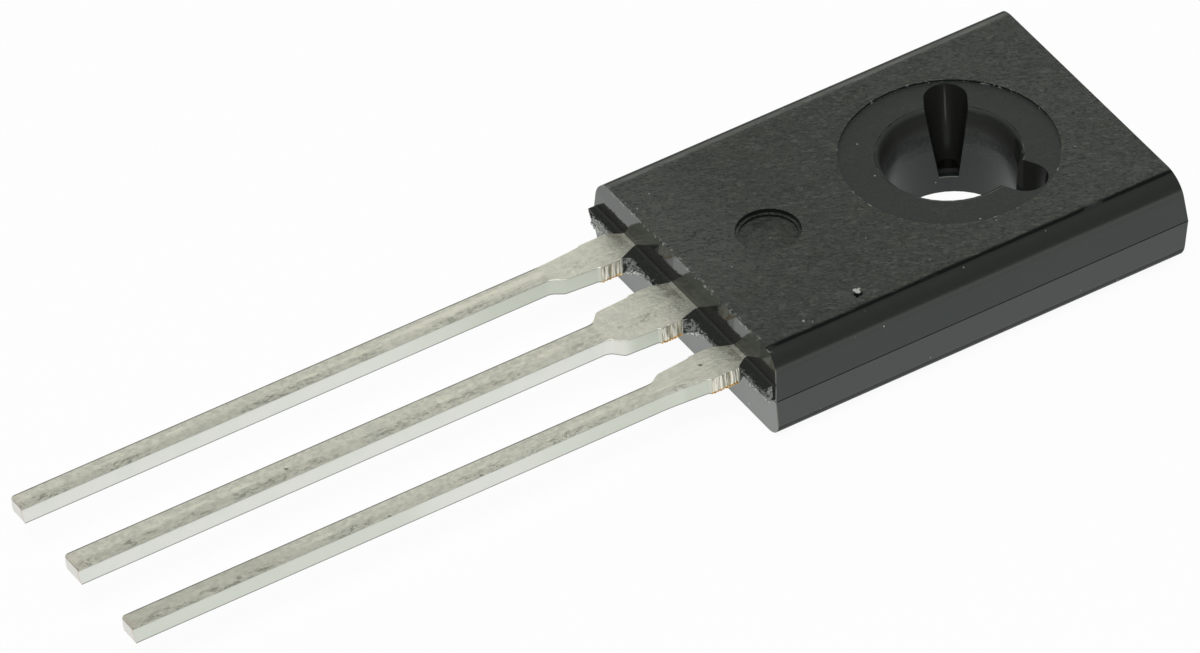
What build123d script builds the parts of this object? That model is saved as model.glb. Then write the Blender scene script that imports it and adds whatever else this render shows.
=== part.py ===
from build123d import *
import os
from math import radians, tan

# Flat-backed plastic power transistor with three in-line leads, lying on its back.
# The origin is on the mounting hole's axis at the back face. +Y runs along the body away from
# the leads, +X runs from the emitter side to the base side, +Z leaves the top face. Millimetres.

# Moulded body
body_length = 10.80
body_width = 7.62
body_height = 2.42
parting_height = 1.22
draft_angle = 5.0
hole_to_far_end = 3.80
top_edge_radius = 0.56
back_edge_radius = 0.52

# Mounting hole, with a washer seat sunk into the top face
bore_radius = 1.49
bore_straight = 1.45
mouth_radius = 1.58
mouth_lip_radius = 0.12
seat_radius = 2.49
seat_depth = 0.05

# Notches left by the two pins that hold the plate down while the plastic flows: round-ended slots
# that open into the bore and narrow towards the plate
notch_count = 2
notch_start_angle = 30.0
notch_spread_angle = 120.0
notch_end_radius = 1.92
notch_slot_length = 0.80
notch_half_width = 0.49
notch_draft_angle = 8.0

# Round ejector mark in the top face, stepped round the pin's own face
ejector_radius = 0.745
ejector_depth = 0.11
ejector_ledge = 0.07
ejector_pin_depth = 0.17
ejector_place_share = 0.50

# Moulding webs, where plastic filled the gaps beside the leads up to the dam bar
emitter_side_web_reach = 0.17
gap_web_reach = 0.26
base_side_web_reach = 0.24
web_low_reach = 0.10
web_end_inset = 0.10
web_root = 0.30
tongue_reach = 0.45
tongue_spread = 0.36
tongue_curve_share = 1.4

# Lead frame, stamped from one gauge of strip
frame_gauge = 0.42
lead_pitch = 2.38
lead_length = 15.66
roll_radius = 0.02
tip_corner_radius = 0.12
tip_break_depth = 0.06
tip_break_height = 0.30
shoulder_radius = 0.18
heel_radius = 0.30

# Stations along a lead, measured outwards from the end of the body. The stubs on the outermost flanks
# start nearer to it.
root_depth = 0.90
dam_start = 0.45
outer_dam_start = 0.27
dam_end = 1.00
dam_step = 0.06
shoulder_start = 1.88
shoulder_end = 2.14

# Half widths of a lead at its root, dam-bar stub, wide part, shoulder and blade
centre_root = 0.55
centre_dam = 0.69
centre_wide = 0.65
centre_shoulder = 0.61
centre_blade = 0.33
inner_root = 0.36
inner_dam = 0.56
inner_wide = 0.52
inner_shoulder = 0.45
outer_root = 0.19
outer_dam = 0.38
outer_wide = 0.34
outer_shoulder = 0.28
outer_blade = 0.27

# Bond posts, the inner ends of the emitter and base leads
post_width = 1.70
post_length = 1.20
post_gap = 0.55
post_corner_radius = 0.20

# Step down from the centre lead to the plate
step_run = 0.40
step_bend_radius = 0.15
step_angle = 45.0

# Heat-spreader plate, with an undercut rim that locks it into the plastic
plate_width = 5.60
plate_far_edge = 3.10
plate_setback = 2.00
plate_corner_radius = 0.45
plate_hole_radius = 1.80
lock_depth = 0.18
lock_height = 0.20

# Chip and solder, sized by the plate's room between its hole and its lead-side edge
die_width_share = 0.50
die_place_share = 0.45
die_thickness = 0.22
solder_border = 0.10
solder_thickness = 0.05

# Bond wires
wire_radius = 0.09
wire_squash = 0.03
foot_length = 0.36
wire_loop_height = 0.42
pad_side_share = 0.25
pad_out_share = 0.10
post_foot_inset = 0.60

# Corners of a wire's loop: share of the way to the post, share of the rise to the crest
loop_shares = [(0.15, 0.70), (0.40, 1.00), (0.70, 0.94)]

# One overrun serves all cuts
overrun = 1.00

# Places worked out from the sizes above
far_end = hole_to_far_end
lead_end = far_end - body_length
lead_tip = lead_end - lead_length
body_middle = (far_end + lead_end) / 2
upper_height = body_height - parting_height
seat_floor = body_height - seat_depth
lead_floor = parting_height
lead_top = lead_floor + frame_gauge
solder_top = frame_gauge + solder_thickness
die_top = solder_top + die_thickness
ejector_to_hole = seat_radius + (-lead_end - seat_radius) * ejector_place_share
plate_near_edge = -lead_end - plate_setback
die_room = plate_near_edge - plate_hole_radius
die_width = die_room * die_width_share
die_to_hole = plate_hole_radius + die_room * die_place_share


def lead_side(root, stub_start, dam, wide, shoulder, blade):
    """One edge of a lead: half width and distance out of the body, from inside to the tip."""
    return [
        (root, -root_depth),
        (root, 0),
        (dam, stub_start),
        (dam, dam_end),
        (wide, dam_end + dam_step),
        (shoulder, shoulder_start),
        (blade, shoulder_end),
        (blade, lead_length),
    ]


def lead_outline(middle, left_side, right_side):
    """Closed plan outline of a lead, down its left edge and back up its right edge."""
    left = [(middle - width, lead_end - out) for width, out in left_side]
    right = [(middle + width, lead_end - out) for width, out in right_side]
    return left + right[::-1]


def soften_plan(plan):
    """Rounds a lead's plan outline: its shoulders, the heels where they meet the blade, one tip corner."""
    shoulders = plan.vertices().group_by(Axis.Y)[2]
    fillet(shoulders, radius=shoulder_radius)
    heels = plan.vertices().group_by(Axis.Y)[1]
    fillet(heels, radius=heel_radius)
    corner = plan.vertices().group_by(Axis.Y)[0].sort_by(Axis.X)[0]
    fillet(corner, radius=tip_corner_radius)


def finish_lead(lead):
    """Breaks a lead's tip back below its clean shear, and rolls the punched top edges."""
    with BuildSketch(Plane.YZ) as broken:
        with BuildLine():
            Polyline(
                (lead_tip, lead_floor),
                (lead_tip + tip_break_depth, lead_floor),
                (lead_tip, lead_floor + tip_break_height),
                close=True,
            )
        make_face()
    extrude(broken.sketch, amount=body_width, both=True, mode=Mode.SUBTRACT)
    fillet(lead.faces().sort_by(Axis.Z)[-1].edges(), radius=roll_radius)


def make_outer_lead(middle, left_side, right_side, post_middle):
    """An outer lead, with its bond post inside the body."""
    with BuildPart() as lead:
        with BuildSketch(Plane.XY.offset(lead_floor)) as plan:
            with BuildLine():
                Polyline(*lead_outline(middle, left_side, right_side), close=True)
            make_face()
            soften_plan(plan)
        extrude(amount=frame_gauge)
        finish_lead(lead)
        with BuildSketch(Plane.XY.offset(lead_floor)):
            with Locations((post_middle, post_y)):
                RectangleRounded(post_width, post_length, post_corner_radius)
        extrude(amount=frame_gauge)
    return lead


inner_side = lead_side(inner_root, dam_start, inner_dam, inner_wide, inner_shoulder, outer_blade)
outer_side = lead_side(outer_root, outer_dam_start, outer_dam, outer_wide, outer_shoulder, outer_blade)
centre_side = lead_side(centre_root, dam_start, centre_dam, centre_wide, centre_shoulder, centre_blade)

post_x = post_gap + post_width / 2 + centre_root
post_y = lead_end + root_depth - post_corner_radius + post_length / 2

# Emitter and base leads, all tips sheared from the same side
emitter_lead = make_outer_lead(-lead_pitch, outer_side, inner_side, -post_x)
emitter_lead.part.label = "emitter_lead"

base_lead = make_outer_lead(lead_pitch, inner_side, outer_side, post_x)
base_lead.part.label = "base_lead"

# Collector lead: centre lead, step down and heat-spreader plate in one stamping
plate_length = plate_far_edge + plate_near_edge
plate_middle = (plate_far_edge - plate_near_edge) / 2
step_start = lead_end + root_depth - step_run / 2
step_foot = step_start + lead_floor / tan(radians(step_angle))
with BuildPart() as collector_lead:
    with BuildSketch(Plane.XY.offset(lead_floor)) as collector_plan:
        with BuildLine():
            Polyline(*lead_outline(0, centre_side, centre_side), close=True)
        make_face()
        soften_plan(collector_plan)
    extrude(amount=frame_gauge)
    finish_lead(collector_lead)
    with BuildSketch(Plane.YZ):
        with BuildLine():
            FilletPolyline(
                (lead_end, lead_floor),
                (step_start, lead_floor),
                (step_foot, 0),
                (0, 0),
                radius=step_bend_radius,
            )
            offset(amount=frame_gauge, side=Side.LEFT)
        make_face()
    extrude(amount=centre_root, both=True)
    with BuildSketch(Plane.XY):
        with Locations((0, plate_middle)):
            RectangleRounded(plate_width, plate_length, plate_corner_radius)
    extrude(amount=frame_gauge)
    with BuildSketch(Plane.XY):
        with Locations((0, plate_middle)):
            Rectangle(plate_width + overrun, plate_length + overrun)
            RectangleRounded(
                plate_width - 2 * lock_depth,
                plate_length - 2 * lock_depth,
                plate_corner_radius,
                mode=Mode.SUBTRACT,
            )
    extrude(amount=lock_height, mode=Mode.SUBTRACT)
    with BuildSketch(Plane.XY):
        Circle(plate_hole_radius)
    extrude(amount=frame_gauge, mode=Mode.SUBTRACT)
collector_lead.part.label = "collector_lead"

# Solder layer and chip, stacked on the plate between the hole and the step
with BuildPart() as die_attach_solder:
    with BuildSketch(Plane.XY.offset(frame_gauge)):
        with Locations((0, -die_to_hole)):
            Rectangle(die_width + 2 * solder_border, die_width + 2 * solder_border)
    extrude(amount=solder_thickness)
die_attach_solder.part.label = "die_attach_solder"

with BuildPart() as silicon_die:
    with BuildSketch(Plane.XY.offset(solder_top)):
        with Locations((0, -die_to_hole)):
            Rectangle(die_width, die_width)
    extrude(amount=die_thickness)
silicon_die.part.label = "silicon_die"


def wire_path(pad_x, pad_y, foot_x, foot_y):
    """Corners of a bond wire: flat foot on the chip, loop, flat foot on the bond post."""
    pad = Vector(pad_x, pad_y, die_top + wire_radius - wire_squash)
    foot = Vector(foot_x, foot_y, lead_top + wire_radius - wire_squash)
    along = Vector(foot_x - pad_x, foot_y - pad_y, 0).normalized() * (foot_length / 2)
    rise = foot.Z + wire_loop_height - pad.Z
    loop = []
    for way, lift in loop_shares:
        below = pad + (foot - pad) * way
        loop.append(Vector(below.X, below.Y, pad.Z + rise * lift))
    return [pad - along, pad + along, *loop, foot - along, foot + along]


# Bond wires, squashed flat where they are welded to the chip and the posts
pad_x = die_width * pad_side_share
pad_y = -die_to_hole - die_width * pad_out_share
foot_x = post_x - post_width / 2 + post_foot_inset
with BuildPart() as emitter_bond_wire:
    with BuildLine() as wire_line:
        Polyline(*wire_path(-pad_x, pad_y, -foot_x, post_y))
    with BuildSketch(Plane(wire_line.line @ 0, z_dir=wire_line.line % 0)):
        Circle(wire_radius)
    sweep(transition=Transition.RIGHT)
    add(silicon_die.part, mode=Mode.SUBTRACT)
    add(emitter_lead.part, mode=Mode.SUBTRACT)
emitter_bond_wire.part.label = "emitter_bond_wire"

with BuildPart() as base_bond_wire:
    mirror(emitter_bond_wire.part, about=Plane.YZ)
base_bond_wire.part.label = "base_bond_wire"

# Moulded body: drafted both ways from the parting plane, moulded round everything inside it
web_edge = body_width / 2 - web_end_inset
webs = [
    (-web_edge, -lead_pitch, emitter_side_web_reach),
    (-lead_pitch, lead_pitch, gap_web_reach),
    (lead_pitch, web_edge, base_side_web_reach),
]
tongue_flanks = [-lead_pitch + inner_dam, centre_dam]
inner_pieces = [
    emitter_lead,
    collector_lead,
    base_lead,
    die_attach_solder,
    silicon_die,
    emitter_bond_wire,
    base_bond_wire,
]
with BuildPart() as moulded_body:
    with BuildSketch(Plane.XY.offset(parting_height)) as parting_outline:
        with Locations((0, body_middle)):
            Rectangle(body_width, body_length)
    extrude(amount=upper_height, taper=draft_angle)
    extrude(parting_outline.sketch, amount=-parting_height, taper=draft_angle)
    fillet(moulded_body.faces().sort_by(Axis.Z)[-1].edges().filter_by(Axis.Y), radius=top_edge_radius)
    fillet(moulded_body.faces().sort_by(Axis.Z)[0].edges().filter_by(Axis.Y), radius=back_edge_radius)
    # Moulding webs across the end, at the level of the leads
    for web_start, web_stop, web_reach in webs:
        with BuildSketch(Plane.YZ.offset(web_start)):
            with BuildLine():
                Polyline(
                    (lead_end + web_root, lead_floor),
                    (lead_end - web_low_reach, lead_floor),
                    (lead_end - web_reach, lead_top),
                    (lead_end + web_root, lead_top),
                    close=True,
                )
            make_face()
        extrude(amount=web_stop - web_start)
    # Tongues of plastic that run on along one flank of the emitter and collector leads
    for flank in tongue_flanks:
        with BuildSketch(Plane.XY.offset(lead_floor)):
            with BuildLine():
                Polyline(
                    (flank, lead_end + web_root),
                    (flank - tongue_spread, lead_end + web_root),
                    (flank - tongue_spread, lead_end - tongue_reach),
                    (flank, lead_end - tongue_reach),
                )
                RadiusArc(
                    (flank, lead_end - tongue_reach),
                    (flank + tongue_spread, lead_end - web_low_reach),
                    tongue_spread * tongue_curve_share,
                )
                Polyline(
                    (flank + tongue_spread, lead_end - web_low_reach),
                    (flank + tongue_spread, lead_end + web_root),
                    (flank, lead_end + web_root),
                )
            make_face()
        extrude(amount=frame_gauge)
    # Bore that flares to a rounded mouth, and washer seat
    with BuildSketch(Plane.XZ) as bore_profile:
        with BuildLine():
            Polyline(
                (mouth_radius, seat_floor),
                (seat_radius, seat_floor),
                (seat_radius, body_height + overrun),
                (0, body_height + overrun),
                (0, -overrun),
                (bore_radius, -overrun),
                (bore_radius, bore_straight),
            )
            TangentArc((bore_radius, bore_straight), (mouth_radius, seat_floor), tangent=(0, 1))
        make_face()
        mouth = bore_profile.vertices().sort_by_distance((mouth_radius, seat_floor))[0]
        fillet(mouth, radius=mouth_lip_radius)
    revolve(axis=Axis.Z, mode=Mode.SUBTRACT)
    # Hold-down pin notches, down to the plate
    with BuildSketch(Plane.XY.offset(seat_floor)):
        with PolarLocations(
            notch_end_radius - notch_slot_length / 2,
            notch_count,
            notch_start_angle,
            notch_spread_angle,
            endpoint=True,
        ):
            SlotCenterToCenter(notch_slot_length, 2 * notch_half_width)
    extrude(amount=frame_gauge - seat_floor, taper=notch_draft_angle, mode=Mode.SUBTRACT)
    # Ejector mark
    with BuildSketch(Plane.XY.offset(body_height)):
        with Locations((0, -ejector_to_hole)):
            Circle(ejector_radius)
    extrude(amount=-ejector_depth, mode=Mode.SUBTRACT)
    with BuildSketch(Plane.XY.offset(body_height)):
        with Locations((0, -ejector_to_hole)):
            Circle(ejector_radius - ejector_ledge)
    extrude(amount=-ejector_pin_depth, mode=Mode.SUBTRACT)
    for piece in inner_pieces:
        add(piece.part, mode=Mode.SUBTRACT)
moulded_body.part.label = "moulded_body"

os.makedirs("parts", exist_ok=True)
export_step(moulded_body.part, "parts/moulded_body.step")
export_step(emitter_lead.part, "parts/emitter_lead.step")
export_step(collector_lead.part, "parts/collector_lead.step")
export_step(base_lead.part, "parts/base_lead.step")
export_step(silicon_die.part, "parts/silicon_die.step")
export_step(die_attach_solder.part, "parts/die_attach_solder.step")
export_step(emitter_bond_wire.part, "parts/emitter_bond_wire.step")
export_step(base_bond_wire.part, "parts/base_bond_wire.step")
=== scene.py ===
import math
import random
from types import SimpleNamespace

import bmesh
import bpy
from mathutils import Matrix, Vector


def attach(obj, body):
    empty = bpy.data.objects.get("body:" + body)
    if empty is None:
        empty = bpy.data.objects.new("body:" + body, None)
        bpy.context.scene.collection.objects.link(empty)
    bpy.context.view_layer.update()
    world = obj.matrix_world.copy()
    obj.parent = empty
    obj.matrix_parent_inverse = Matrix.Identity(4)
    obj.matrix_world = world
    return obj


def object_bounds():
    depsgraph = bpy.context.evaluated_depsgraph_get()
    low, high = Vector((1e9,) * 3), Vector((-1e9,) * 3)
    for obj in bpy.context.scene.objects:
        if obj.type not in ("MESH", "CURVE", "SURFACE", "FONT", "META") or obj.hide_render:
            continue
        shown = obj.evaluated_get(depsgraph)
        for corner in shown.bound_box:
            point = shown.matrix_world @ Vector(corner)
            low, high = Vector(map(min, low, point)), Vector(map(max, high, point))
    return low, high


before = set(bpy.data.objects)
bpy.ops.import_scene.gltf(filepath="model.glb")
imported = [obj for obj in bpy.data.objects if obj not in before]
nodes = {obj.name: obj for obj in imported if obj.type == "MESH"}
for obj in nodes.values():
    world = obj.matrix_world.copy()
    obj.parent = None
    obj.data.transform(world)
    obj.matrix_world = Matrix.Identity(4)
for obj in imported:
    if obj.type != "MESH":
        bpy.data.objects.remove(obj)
cad_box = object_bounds()
MM = 0.001
UP = Vector((0, 0, 1))

# Camera, as fitted to the photograph's 1200 x 653 frame: degrees, metres and pixels
VIEW_AZIMUTH = 60.3865
VIEW_ELEVATION = 40.5501
VIEW_ROLL = -3.3459
VIEW_DISTANCE = 0.361249
VIEW_TARGET = Vector((-0.589068 * MM, -8.811658 * MM, 1.2 * MM))
FOCAL_PIXELS = 16401.76
IMAGE_WIDTH = 1200
SENSOR_WIDTH = 36.0

# Outermost places of the part in millimetres, from the frame's own box
BOX_LOW, BOX_HIGH = [[round(value / MM, 3) for value in corner] for corner in cad_box]
HALF_WIDTH = BOX_HIGH[0]
BODY_TOP = BOX_HIGH[2]
LEAD_TIP = BOX_LOW[1]

# Places on the body in millimetres
BODY_END = -7.0
PARTING = 1.22
DRAFT_ANGLE = 5.0
BORE_RADIUS = 1.49
BORE_STRAIGHT = 1.45
MOUTH_RADIUS = 1.58
SEAT_RADIUS = 2.49
NOTCH_END_RADIUS = 1.92
PLATE_TOP = 0.42
# Where a shadow is painted beside a crumb on the top, and where the crumb lies
CRUMB_SHADOW_PLACE = (2.964, -4.278)
CRUMB_PLACE = (2.844, -4.233)

# Direction of the ripples on the top. The far notch lies at right angles to it, to the left.
RIPPLE_WAY = (0.5, 0.866)

# Places on the leads in millimetres: a dam-bar stub ends nearer to the body on the outermost flanks
LEAD_TOP = 1.64
LEAD_PITCH = 2.38
CENTRE_BLADE = 0.33
OUTER_BLADE = 0.27
CENTRE_DAM = 0.69
INNER_DAM = 0.56
OUTER_DAM = 0.38
DAM_FAR = BODY_END - 1.00
DAM_NEAR = BODY_END - 0.45
OUTER_DAM_NEAR = BODY_END - 0.27
BLADE_START = BODY_END - 2.14
WEAR_START = -12.5
WEAR_END = -18.0

# Hollow curve of a web's tongue in millimetres and degrees, its centre measured from the lead's flank
# and the body's end
TONGUE_CENTRE = (0.4846, -0.5883)
TONGUE_RADIUS = 0.504
TONGUE_START = 162.0
TONGUE_STOP = 106.0

# Raggedness of a broken edge: shares of its thickness, and of a radian where a jolt turns a corner
EDGE_JOLT = 0.3
EDGE_THINNEST = 0.55
EDGE_THICKEST = 1.25
SWELL_START = 0.5
SWELL_LEAST = 0.25
SWELL_MOST = 1.0
SWELL_CHANGE = 0.35

# First seed of each row of broken edges
RIM_SEED = 11
BURR_SEED = 31
LIP_SEED = 51

# Studio: metres, linear grey, and how white the floor shows itself to the camera and in reflections
FLOOR_HALF = 1.5
FLOOR_GREY = 0.93
FLOOR_WHITE = {"Is Camera Ray": 0.94, "Is Glossy Ray": 0.97}
WORLD_GREY = 0.22


def rgb(red, green, blue):
    """An opaque colour in linear light."""
    return (red, green, blue, 1.0)


EPOXY = SimpleNamespace(
    matt=rgb(0.037, 0.041, 0.032),
    clouded_matt=rgb(0.042, 0.044, 0.031),
    far_end=rgb(0.066, 0.069, 0.057),
    stain=rgb(0.040, 0.037, 0.017),
    paler=rgb(0.090, 0.093, 0.077),
    painted_ripple_highlight=rgb(0.096, 0.100, 0.081),
    painted_ripple_shade=rgb(0.003, 0.004, 0.003),
    seat=rgb(0.008, 0.010, 0.008),
    gloss=rgb(0.008, 0.011, 0.010),
    clouded_gloss=rgb(0.012, 0.014, 0.012),
    end_face=rgb(0.025, 0.028, 0.024),
    painted_floor_reflection=rgb(0.066, 0.080, 0.068),
    painted_reflection_band=rgb(0.052, 0.052, 0.046),
    rolled_edge_painted_light=rgb(0.017, 0.019, 0.016),
    bore=rgb(0.006, 0.008, 0.008),
    upper_bore=rgb(0.034, 0.035, 0.032),
    bore_dust=rgb(0.060, 0.064, 0.062),
    lip=rgb(0.022, 0.024, 0.021),
    notch=rgb(0.021, 0.022, 0.020),
    parting_line=rgb(0.004, 0.004, 0.004),
    edge_line=rgb(0.002, 0.002, 0.002),
    painted_verge_highlight=rgb(0.12, 0.125, 0.11),
    painted_verge_shade=rgb(0.028, 0.030, 0.026),
    painted_corner_highlight=rgb(0.24, 0.24, 0.21),
    chip=rgb(0.40, 0.41, 0.38),
    dust=rgb(0.50, 0.52, 0.49),
    rim_fleck=rgb(0.34, 0.35, 0.33),
    painted_crumb_shadow=rgb(0.003, 0.003, 0.003),
    crumb=rgb(0.66, 0.67, 0.63),
    notch_line=rgb(0.15, 0.155, 0.145),
    painted_sill_highlight=rgb(0.22, 0.22, 0.20),
    torn=rgb(0.017, 0.017, 0.014),
    torn_grain=rgb(0.062, 0.062, 0.054),
    fresh=rgb(0.50, 0.52, 0.49),
    filler=rgb(0.50, 0.51, 0.48),
    bright_filler=rgb(0.92, 0.94, 0.90),
    seam=rgb(0.044, 0.044, 0.038),
    shine=rgb(0.90, 1.0, 0.94),
)

TIN = SimpleNamespace(
    dark_mottle=rgb(0.62, 0.63, 0.53),
    light_mottle=rgb(0.80, 0.80, 0.68),
    wide_part=rgb(0.86, 0.86, 0.73),
    blotch=rgb(0.62, 0.64, 0.56),
    streak=rgb(0.97, 0.95, 0.80),
    worn=rgb(0.42, 0.43, 0.35),
    tired=rgb(0.48, 0.49, 0.41),
    rub=rgb(0.24, 0.25, 0.19),
    cross_mark=rgb(0.97, 0.94, 0.80),
    bleed=rgb(0.27, 0.26, 0.20),
    root_line=rgb(0.92, 0.92, 0.80),
    pit=rgb(0.12, 0.12, 0.09),
    far_edge=rgb(0.10, 0.10, 0.09),
    side=rgb(0.74, 0.77, 0.71),
    clouded_side=rgb(0.77, 0.78, 0.73),
    side_fleck=rgb(0.84, 0.85, 0.80),
    dull_side=rgb(0.577, 0.615, 0.53),
    lower_edge=rgb(0.14, 0.14, 0.13),
    shear_groove=rgb(0.50, 0.47, 0.35),
    shear_ridge=rgb(0.95, 0.93, 0.82),
    shear_copper=rgb(0.66, 0.42, 0.12),
    tip_copper=rgb(0.60, 0.50, 0.42),
    tip_end_with_painted_shade=rgb(0.74, 0.73, 0.69),
    tip_edge=rgb(0.66, 0.49, 0.44),
    plate_patch=rgb(0.60, 0.61, 0.56),
    plate_scratch=rgb(0.90, 0.90, 0.85),
    painted_notch_shade=rgb(0.034, 0.034, 0.030),
)


class Finish:
    """A procedural material: its node tree, with short calls for the nodes that finishes share."""

    def __init__(self, name):
        self.material = bpy.data.materials.new(name)
        self.material.use_nodes = True
        self.tree = self.material.node_tree
        self.shader = self.tree.nodes["Principled BSDF"]
        place = self.add("ShaderNodeTexCoord").outputs["Object"]
        scaled = self.add("ShaderNodeVectorMath", operation="SCALE")
        self.link(place, scaled.inputs[0])
        scaled.inputs["Scale"].default_value = 1 / MM
        self.place = scaled.outputs["Vector"]
        self.x, self.y, self.z = self.split(self.place)
        normal = self.add("ShaderNodeNewGeometry").outputs["Normal"]
        self.nx, self.ny, self.nz = self.split(normal)

    def add(self, kind, **settings):
        node = self.tree.nodes.new(kind)
        for key, value in settings.items():
            setattr(node, key, value)
        return node

    def link(self, value, socket):
        """Feeds a socket from a number, a colour or another node's output."""
        if isinstance(value, bpy.types.NodeSocket):
            self.tree.links.new(value, socket)
        else:
            socket.default_value = value

    def split(self, vector):
        node = self.add("ShaderNodeSeparateXYZ")
        self.link(vector, node.inputs[0])
        return node.outputs[0], node.outputs[1], node.outputs[2]

    def join(self, x, y, z):
        node = self.add("ShaderNodeCombineXYZ")
        for value, socket in zip((x, y, z), node.inputs):
            self.link(value, socket)
        return node.outputs[0]

    def math(self, operation, *values):
        node = self.add("ShaderNodeMath", operation=operation)
        for value, socket in zip(values, node.inputs):
            self.link(value, socket)
        return node.outputs[0]

    def chain(self, operation, values):
        """Works through a row of values with one operation."""
        result = values[0]
        for value in values[1:]:
            result = self.math(operation, result, value)
        return result

    def times(self, *values):
        return self.chain("MULTIPLY", values)

    def plus(self, *values):
        return self.chain("ADD", values)

    def larger(self, *values):
        return self.chain("MAXIMUM", values)

    def minus(self, first, second):
        return self.math("SUBTRACT", first, second)

    def inverse(self, value):
        return self.minus(1.0, value)

    def amount(self, value):
        return self.math("ABSOLUTE", value)

    def length(self, x, y):
        return self.math("SQRT", self.plus(self.times(x, x), self.times(y, y)))

    def turned(self, way):
        """How far a place lies along a direction in plan, and how far to the left of it."""
        along = self.plus(self.times(self.x, way[0]), self.times(self.y, way[1]))
        left = self.plus(self.times(self.x, -way[1]), self.times(self.y, way[0]))
        return along, left

    def step(self, value, start, end, low=0.0, high=1.0):
        """Rises smoothly from low to high as value goes from start to end."""
        node = self.add("ShaderNodeMapRange", interpolation_type="SMOOTHSTEP")
        for given, socket in zip((value, start, end, low, high), node.inputs):
            self.link(given, socket)
        return node.outputs[0]

    def band(self, value, start, end, soft):
        """1 between start and end, with soft flanks."""
        return self.times(
            self.step(value, start - soft, start + soft),
            self.step(value, end - soft, end + soft, 1.0, 0.0),
        )

    def noise(self, scale, detail=3.0, rough=0.5, stretch=None, distortion=0.0, place=None):
        """Fractal noise of about 0 to 1, with scale features to the millimetre."""
        place = place or self.place
        if stretch:
            node = self.add("ShaderNodeVectorMath", operation="MULTIPLY")
            self.link(place, node.inputs[0])
            self.link(stretch, node.inputs[1])
            place = node.outputs["Vector"]
        node = self.add("ShaderNodeTexNoise")
        self.link(place, node.inputs["Vector"])
        self.link(scale, node.inputs["Scale"])
        self.link(detail, node.inputs["Detail"])
        self.link(rough, node.inputs["Roughness"])
        self.link(distortion, node.inputs["Distortion"])
        return node.outputs["Fac"]

    def sway(self, noise, reach):
        """Noise as a shift of up to half of reach to either side."""
        return self.times(self.minus(noise, 0.5), reach)

    def cells(self, scale):
        """Distance to the nearest of scattered points, and that point's own chance of 0 to 1."""
        node = self.add("ShaderNodeTexVoronoi")
        self.link(self.place, node.inputs["Vector"])
        self.link(scale, node.inputs["Scale"])
        channels = self.add("ShaderNodeSeparateColor")
        self.link(node.outputs["Color"], channels.inputs[0])
        return node.outputs["Distance"], channels.outputs[0]

    def specks(self, scale, size, share):
        """Round specks on a share of scattered points."""
        distance, chance = self.cells(scale)
        picked = self.step(chance, share, share * 0.9)
        return self.times(self.step(distance, size, size * 0.5), picked)

    def spot(self, place, size, jagged):
        """1 within size of an upright line through a place in plan, with a jagged border."""
        reach = self.length(self.minus(self.x, place[0]), self.minus(self.y, place[1]))
        return self.step(self.plus(reach, jagged), size + 0.015, size - 0.015)

    def mix(self, factor, first, second):
        node = self.add("ShaderNodeMix", data_type="RGBA")
        self.link(factor, node.inputs[0])
        self.link(first, node.inputs[6])
        self.link(second, node.inputs[7])
        return node.outputs[2]

    def over(self, ground, paint, *shares):
        """Lays paint over a ground colour, by the product of its shares."""
        return self.mix(self.times(*shares), ground, paint)

    def blend(self, factor, first, second):
        node = self.add("ShaderNodeMix", data_type="FLOAT")
        self.link(factor, node.inputs[0])
        self.link(first, node.inputs[2])
        self.link(second, node.inputs[3])
        return node.outputs[0]

    def changed(self, base, *changes):
        """A base value, plus each mask times its own change."""
        return self.plus(base, *[self.times(mask, change) for mask, change in changes])

    def bump(self, height, distance, strength=1.0, normal=None):
        node = self.add("ShaderNodeBump")
        self.link(height, node.inputs["Height"])
        node.inputs["Distance"].default_value = distance * MM
        self.link(strength, node.inputs["Strength"])
        if normal is not None:
            self.link(normal, node.inputs["Normal"])
        return node.outputs[0]

    def set(self, **sockets):
        """Feeds the shader's own sockets, written with _ for a space."""
        for name, value in sockets.items():
            self.link(value, self.shader.inputs[name.replace("_", " ")])
        return self.material


def epoxy_textures(epoxy):
    """Noises that more than one part of the epoxy's finish uses."""
    along, left = epoxy.turned(RIPPLE_WAY)
    ripple_place = epoxy.join(along, left, epoxy.z)
    return SimpleNamespace(
        along=along,
        left=left,
        grain=epoxy.noise(16.0, 4.0, 0.65),
        ripple=epoxy.noise(8.5, 4.0, 0.66, (0.62, 1.55, 1.0), 1.6, ripple_place),
        cloud=epoxy.noise(0.55),
        crumble=epoxy.noise(15.0, 4.0, 0.7),
    )


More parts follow.
